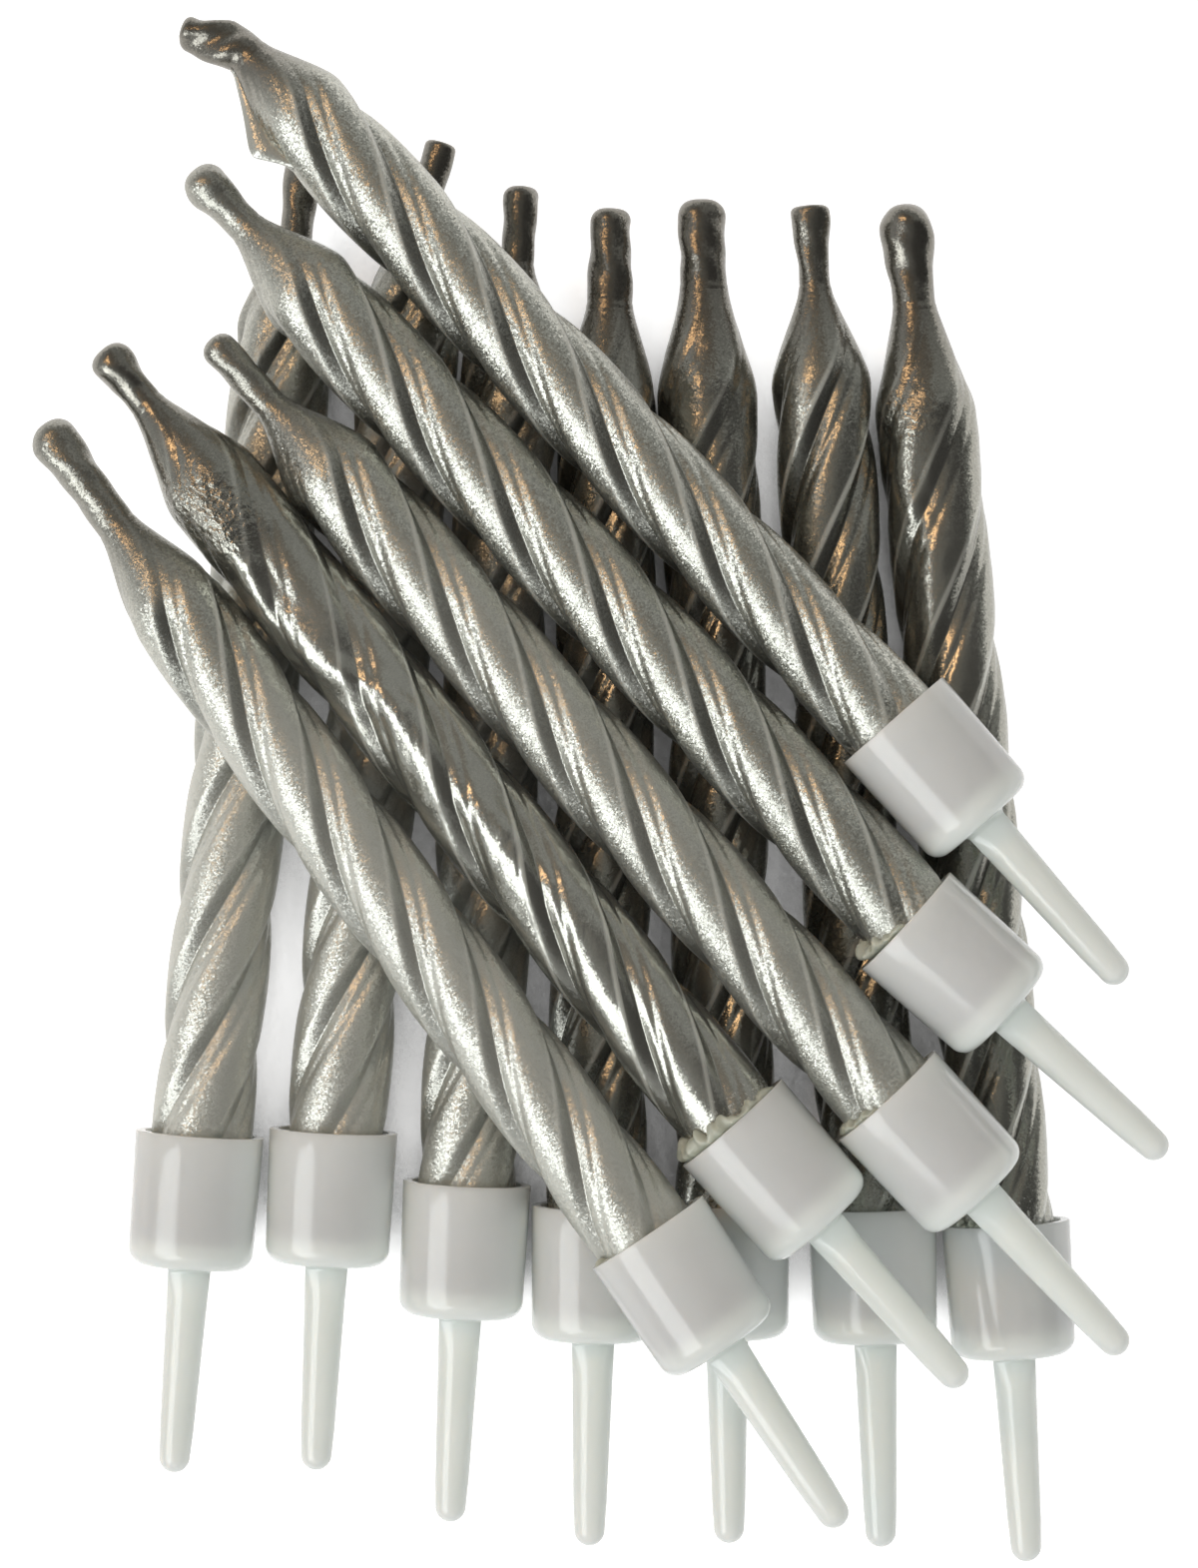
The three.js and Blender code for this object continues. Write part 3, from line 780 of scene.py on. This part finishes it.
# The wax lips: where a candle was pushed into a tight cup, the rim has shaved crumbs of bare paraffin off
# it, and they stand in a ragged collar round the foot. Each candle below, counted from 0, has one over
# part of the rim.
LIPS = {8: (150, 110, 1.15), 10: (190, 150, 1.5), 11: (165, 60, 0.6), 6: (230, 50, 0.7), 9: (200, 50, 0.6)}
LIP_SIDES = 90
SHADED_PARAFFIN = (0.4, 0.42, 0.35)
LIT_PARAFFIN = (0.58, 0.6, 0.52)


def bare_wax():
    material, tree, shader = new_material("bare_paraffin")
    grain = noise_field(tree, 0.5 * MM, 3.0)
    tree.links.new(blended(tree, grain, SHADED_PARAFFIN, LIT_PARAFFIN), shader.inputs["Base Color"])
    tree.links.new((grain * 0.2 + 0.3).socket, shader.inputs["Roughness"])
    shader.inputs["Subsurface Weight"].default_value = 0.8
    shader.inputs["Subsurface Radius"].default_value = (1.0, 0.95, 0.85)
    shader.inputs["Subsurface Scale"].default_value = 0.6 * MM
    crumbs = noise_field(tree, 0.25 * MM, 3.0)
    tree.links.new(bump_in(tree, crumbs, 0.7, 0.06 * MM), shader.inputs["Normal"])
    return material


BARE_PARAFFIN = bare_wax()


def make_lip(candle, label):
    """A ragged arc of crumbs between the wax and the rim: middle and half width in degrees, height in mm."""
    middle, half, height = LIPS[candle]
    draw = np.random.default_rng(40 + candle)
    angles = np.radians(np.linspace(middle - half, middle + half, LIP_SIDES))
    ragged = np.convolve(draw.random(LIP_SIDES + 8), np.ones(3) / 3, "same")[4:-4]
    fade = np.sin(np.linspace(0, math.pi, LIP_SIDES)) ** 0.5
    tall = height * (0.25 + 0.75 * np.clip(ragged * 2.4 - 0.7, 0, 1)) * fade
    wide = 0.25 + 0.5 * height * np.clip(np.roll(ragged, 7) * 2.2 - 0.6, 0, 1) * fade
    inner = BODY_RADIUS / MM - 0.5
    rings = []
    for angle, up, out in zip(angles, tall, wide):
        section = [(inner, -0.4), (inner + 0.45 + out * 0.2, -0.35), (inner + 0.6 + out, 0.02 + up * 0.15),
                   (inner + 0.6 + out * 0.9, up * 0.55), (inner + 0.5 + out * 0.4, up), (inner, up * 0.8)]
        rings.append([Vector((r * MM * math.cos(angle), r * MM * math.sin(angle), CUP_HEIGHT + a * MM))
                      for r, a in section])
    piece = in_place(ring_skin(f"wax_lip_{label}", rings), f"wax_lip_{label}", label)
    crumbled = piece.modifiers.new("crumbled", "SUBSURF")
    crumbled.levels = crumbled.render_levels = 1
    piece.data.materials.append(BARE_PARAFFIN)
    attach(piece, f"candle_{label}")


for candle in LIPS:
    make_lip(candle, LABELS[candle])


# The wax film: when the dipped candle with the bent wick cooled, a thin web of lacquered wax was left
# hanging between its cone and its shoulder. It is a curved sheet a few tenths of a millimetre thick.
FILM_CANDLE = 7
FILM_EDGE = [(0, 0), (0.16, 0.25), (0.34, 0.5), (0.5, 0.85), (0.62, 1.15), (0.7, 1.2), (0.78, 0.85),
             (0.88, 0.4), (1, 0)]
FILM_THICKNESS = 0.16 * MM
FILM_TURN = math.radians(192)


def make_film():
    end, _, shoulder, neck, _ = lay_out(FILM_CANDLE)
    label = LABELS[FILM_CANDLE]
    low, high = shoulder - 2.2 * MM, neck + 0.1 * MM
    bow = BOW_MM[FILM_CANDLE] * MM
    rings = []
    for share, out in smooth_through(FILM_EDGE, 30):
        along = high + (low - high) * share
        narrowed = np.interp((along - shoulder) / (neck - shoulder), [at for at, _ in CONE_PROFILE],
                             [height for _, height in CONE_PROFILE])
        wax = BODY_RADIUS + (end["neck"] / 2 * MM - BODY_RADIUS) * narrowed
        reach = wax + max(0.02, out) * MM
        ring = []
        for r, side in ((wax - 0.5 * MM, -1.6), (wax + 0.05 * MM, -1.2), (reach, -0.4), (reach, 0.4),
                        (wax + 0.05 * MM, 1.2), (wax - 0.5 * MM, 1.6)):
            turn = FILM_TURN + 0.25 * share
            across = Vector((math.cos(turn), math.sin(turn), 0))
            off = Vector((-math.sin(turn), math.cos(turn), 0))
            ring.append(across * r + off * side * FILM_THICKNESS + Vector((bow, 0, along)))
        rings.append(ring)
    skin = ring_skin(f"wax_film_{label}", rings)
    for name, amount in (("along", neck), ("pale_and_lip_highlight", 0.8), ("glossy", 0.5)):
        skin.attributes.new(name, "FLOAT", "POINT").data.foreach_set("value", [amount] * len(skin.vertices))
    piece = in_place(skin, f"wax_film_{label}", label)
    piece.data.materials.append(WAX_LACQUER)
    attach(piece, f"candle_{label}")


make_film()


# The studio: white paper on a table, a window low on the left and the glow round it, a warm lamp beyond
# the tips, soft fill from the ceiling, and a room that is grey overhead, where the camera is, and dark on
# the right.
def towards(compass, elevation):
    """A unit vector from its plan direction, in degrees from +X, and its height over the table."""
    flat = math.cos(math.radians(elevation))
    return Vector((flat * math.cos(math.radians(compass)), flat * math.sin(math.radians(compass)),
                   math.sin(math.radians(elevation))))


def add_lamp(name, direction, distance, size, radiance, colour, mirrored=True, scattered=True):
    """A square-on area lamp. mirrored: it shows in reflections; scattered: it lights matt surfaces."""
    lamp = bpy.data.lights.new(name, "AREA")
    lamp.shape = "RECTANGLE"
    lamp.size, lamp.size_y = size
    lamp.energy = radiance * math.pi * size[0] * size[1]
    lamp.color = colour
    holder = bpy.data.objects.new(name, lamp)
    holder.location = direction * distance
    holder.rotation_euler = (-direction).to_track_quat("-Z", "Y").to_euler()
    holder.visible_glossy = mirrored
    holder.visible_diffuse = scattered
    bpy.context.scene.collection.objects.link(holder)


WINDOW_WAY = towards(210, 42)
add_lamp("window", WINDOW_WAY, 0.26, (0.2, 0.16), 4, (0.96, 0.99, 1), scattered=False)
add_lamp("window_glow", WINDOW_WAY, 0.6, (0.7, 0.7), 0.7, (0.97, 0.99, 1), mirrored=False)
add_lamp("warm_lamp", towards(138, 50), 0.6, (0.16, 0.14), 6.5, (1.0, 0.6, 0.3))
add_lamp("ceiling_fill", towards(-20, 65), 0.7, (0.9, 0.9), 0.85, (1, 0.995, 0.98), mirrored=False)

world = bpy.data.worlds.new("room")
world.use_nodes = True
bpy.context.scene.world = world
sky = world.node_tree
background = next(node for node in sky.nodes if node.type == "BACKGROUND")
direction = sky.nodes.new("ShaderNodeTexCoord")
parts = sky.nodes.new("ShaderNodeSeparateXYZ")
sky.links.new(direction.outputs["Generated"], parts.inputs[0])
PLAIN_SIDE = (0.42, 0.43, 0.42)
WINDOW_SIDE = (0.6, 0.61, 0.61)
OVERHEAD_GREY = (0.22, 0.225, 0.215)
PAST_TIPS_BROWN = (0.24, 0.22, 0.19)
DARK_WALL = (0.075, 0.075, 0.073)


def facing(way):
    """How far a direction of the room points along a unit vector."""
    x, y, z = (Field(sky, parts.outputs[axis]) for axis in "XYZ")
    return x * way.x + y * way.y + z * way.z


window_side = (facing(towards(210, 0)) + 0.2).eased()
dark_wall = ((facing(towards(-15, 42)) - 0.72) / 0.16).eased()
overhead = ((Field(sky, parts.outputs["Z"]) - 0.76) / 0.2).eased()
past_tips = ((facing(towards(112, 55)) - 0.8) / 0.13).eased()
room = blended(sky, overhead, blended(sky, window_side, PLAIN_SIDE, WINDOW_SIDE), OVERHEAD_GREY)
room = blended(sky, past_tips, room, PAST_TIPS_BROWN)
room = blended(sky, dark_wall, room, DARK_WALL)
sky.links.new(room, background.inputs["Color"])

floor_mesh = bpy.data.meshes.new("floor")
PAPER_EDGE = 1.5
PAPER_GAP = 0.1 * MM
corners = [(-PAPER_EDGE, -PAPER_EDGE, 0), (PAPER_EDGE, -PAPER_EDGE, 0), (PAPER_EDGE, PAPER_EDGE, 0),
           (-PAPER_EDGE, PAPER_EDGE, 0)]
floor_mesh.from_pydata(corners, [], [(0, 1, 2, 3)])
floor = bpy.data.objects.new("floor", floor_mesh)
floor.location.z = -PAPER_GAP
bpy.context.scene.collection.objects.link(floor)
paper, paper_tree, paper_shader = new_material("white_paper")
paper_shader.inputs["Base Color"].default_value = (0.55, 0.55, 0.55, 1)
paper_shader.inputs["Roughness"].default_value = 0.9
paper_shader.inputs["Specular IOR Level"].default_value = 0.1
ray = paper_tree.nodes.new("ShaderNodeLightPath")
seen = Field(paper_tree, ray.outputs["Is Camera Ray"])
for kind in ("Is Glossy Ray", "Is Transmission Ray"):
    seen = seen.at_least(Field(paper_tree, ray.outputs[kind]))
# The paper is white where it is seen, and keeps the candles' shadow where little sky reaches it.
SHADOW_REACH = 12 * MM
open_sky = paper_tree.nodes.new("ShaderNodeAmbientOcclusion")
open_sky.samples = 16
open_sky.inputs["Distance"].default_value = SHADOW_REACH
open_paper = ((Field(paper_tree, open_sky.outputs["AO"]) - 0.07) / 0.2).eased()
paper_shader.inputs["Emission Color"].default_value = (1, 1, 1, 1)
paper_tree.links.new((seen * (open_paper * 0.9 + 0.02)).socket, paper_shader.inputs["Emission Strength"])
floor_mesh.materials.append(paper)

bpy.context.scene.view_settings.view_transform = "Standard"
